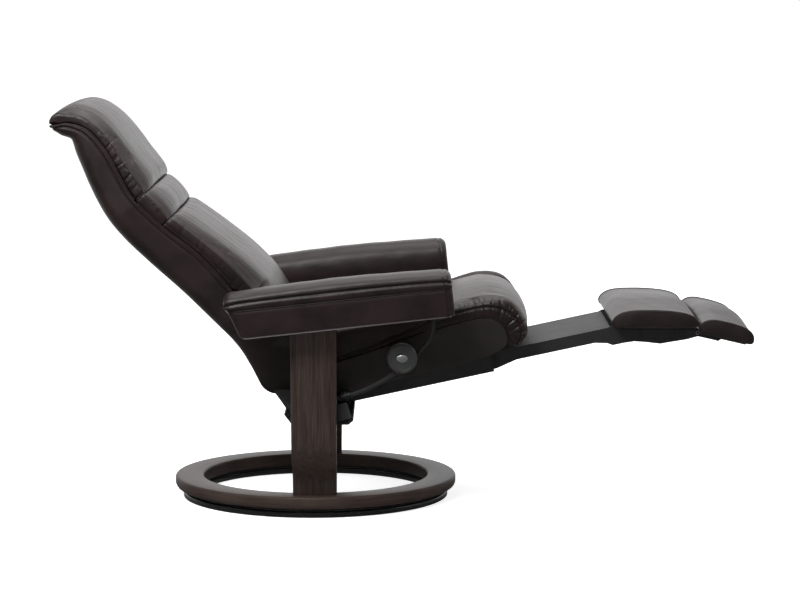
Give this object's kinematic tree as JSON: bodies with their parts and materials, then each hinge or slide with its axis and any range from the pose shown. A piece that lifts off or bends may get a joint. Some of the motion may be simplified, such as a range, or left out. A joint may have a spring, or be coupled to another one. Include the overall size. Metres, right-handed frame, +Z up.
{
  "type": "power recliner",
  "caption": "Reclining swivel chair on a wooden ring base, leather cushions, glide tubes with friction knobs and a powered slide-out footrest with folding pads.",
  "frame": {"origin": "on the floor, under the middle of the reclined chair's bounding box", "axes": "+Z up, +X towards the footrest, +Y towards the sitter's left"},
  "size_m": [1.4934, 0.7918, 0.8736],
  "materials": {
    "leather": "dark brown semi-gloss leather over foam",
    "side_leather": "near-black smooth leather on board",
    "wood": "dark stained wood, satin lacquer",
    "frame_board": "plain plywood",
    "black_steel": "black powder coat",
    "bright_steel": "bright steel",
    "black_plastic": "black plastic",
    "knob_plastic": "dark grey plastic",
    "silver": "silver finish"
  },
  "bodies": {
    "floor_ring_body": {"floor_ring": "black_plastic"},
    "ball_cage_body": {"ball_cage": "bright_steel"},
    "base_body": {"base_ring": "wood", "upper_race": "bright_steel", "upright_right": "wood", "upright_left": "wood", "arm_body_right": "leather", "arm_body_left": "leather", "arm_pad_right": "leather", "arm_pad_left": "leather", "guide_tube_right": "black_steel", "guide_tube_left": "black_steel", "cross_channel": "black_steel"},
    "seat_body": {"seat_cushion": "leather", "seat_pan": "frame_board", "seat_tray": "black_steel", "seat_side_panel_right": "side_leather", "seat_side_panel_left": "side_leather", "guide_clamp_front_right": "black_plastic", "guide_clamp_front_left": "black_plastic", "guide_clamp_rear_right": "black_plastic", "guide_clamp_rear_left": "black_plastic", "hinge_plate_right": "black_steel", "hinge_plate_left": "black_steel", "back_hinge_pin_right": "bright_steel", "back_hinge_pin_left": "bright_steel", "leg_housing": "black_steel", "leg_motor": "black_plastic", "actuator_tube": "bright_steel", "power_inlet": "black_plastic", "switch_plate": "black_plastic"},
    "back_body": {"back_bracket_right": "black_steel", "back_bracket_left": "black_steel", "back_shell": "leather", "back_cushion": "leather", "neck_cushion": "leather", "back_frame": "frame_board", "neck_hinge_rod": "bright_steel"},
    "headrest_body": {"head_shell": "leather", "head_cushion": "leather", "head_frame": "frame_board"},
    "leg_beam_body": {"leg_beam": "black_steel", "actuator_rod": "bright_steel", "foot_hinge_pin": "bright_steel"},
    "foot_pad_body": {"foot_pad": "leather", "foot_pad_board": "frame_board", "pad_bracket": "black_steel", "end_hinge_pin": "bright_steel"},
    "end_pad_body": {"end_pad": "leather", "end_pad_board": "frame_board", "end_bracket": "black_steel"},
    "knob_body_right": {"knob_right": "knob_plastic", "clamp_bolt_right": "bright_steel", "knob_cap_right": "silver"},
    "knob_body_left": {"knob_left": "knob_plastic", "clamp_bolt_left": "bright_steel", "knob_cap_left": "silver"},
    "button_out_body": {"button_out": "knob_plastic"},
    "button_in_body": {"button_in": "knob_plastic"}
  },
  "joints": [
    {"name": "swivel", "type": "hinge", "parent": "floor_ring_body", "child": "base_body", "pos_m": [-0.1945, 0, 0], "axis": [0, 0, 1], "continuous": true},
    {"name": "ball_cage_roll", "type": "hinge", "parent": "floor_ring_body", "child": "ball_cage_body", "pos_m": [-0.1945, 0, 0], "axis": [0, 0, 1], "continuous": true},
    {"name": "seat_glide", "type": "hinge", "parent": "base_body", "child": "seat_body", "pos_m": [-0.216, 0, 0.5857], "axis": [0, 1, 0], "range_deg": [0, 8]},
    {"name": "back_fold", "type": "hinge", "parent": "seat_body", "child": "back_body", "pos_m": [-0.2145, 0, 0.367], "axis": [0, 1, 0], "range_deg": [0, 16]},
    {"name": "headrest_tilt", "type": "hinge", "parent": "back_body", "child": "headrest_body", "pos_m": [-0.56332, 0, 0.66922], "axis": [0, 1, 0], "range_deg": [-7, 0]},
    {"name": "footrest_slide", "type": "slide", "parent": "seat_body", "child": "leg_beam_body", "axis": [0.9778, 0, 0.2096], "range_m": [-0.235, 0]},
    {"name": "foot_pad_swing", "type": "hinge", "parent": "leg_beam_body", "child": "foot_pad_body", "pos_m": [0.4895, 0, 0.376], "axis": [0, 1, 0], "range_deg": [0, 90]},
    {"name": "end_pad_fold", "type": "hinge", "parent": "foot_pad_body", "child": "end_pad_body", "pos_m": [0.6345, 0, 0.377], "axis": [0, 1, 0], "range_deg": [0, 95]},
    {"name": "knob_turn_right", "type": "hinge", "parent": "seat_body", "child": "knob_body_right", "pos_m": [-0.00313, -0.3268, 0.34703], "axis": [0, -1, 0], "range_deg": [-180, 180]},
    {"name": "knob_turn_left", "type": "hinge", "parent": "seat_body", "child": "knob_body_left", "pos_m": [-0.00313, 0.3268, 0.34703], "axis": [0, 1, 0], "range_deg": [-180, 180]},
    {"name": "button_out_press", "type": "slide", "parent": "seat_body", "child": "button_out_body", "axis": [0, -1, 0], "range_m": [0, 0.0015], "stiffness_N_per_m": 600},
    {"name": "button_in_press", "type": "slide", "parent": "seat_body", "child": "button_in_body", "axis": [0, -1, 0], "range_m": [0, 0.0015], "stiffness_N_per_m": 600}
  ],
  "couplings": [
    {"joint": "ball_cage_roll", "follows": "swivel", "ratio": 0.5},
    {"joint": "back_fold", "follows": "seat_glide", "ratio": 2},
    {"joint": "headrest_tilt", "follows": "seat_glide", "ratio": -0.875},
    {"joint": "foot_pad_swing", "follows": "footrest_slide", "rad_per_m": -6.684},
    {"joint": "end_pad_fold", "follows": "footrest_slide", "rad_per_m": -7.055}
  ]
}
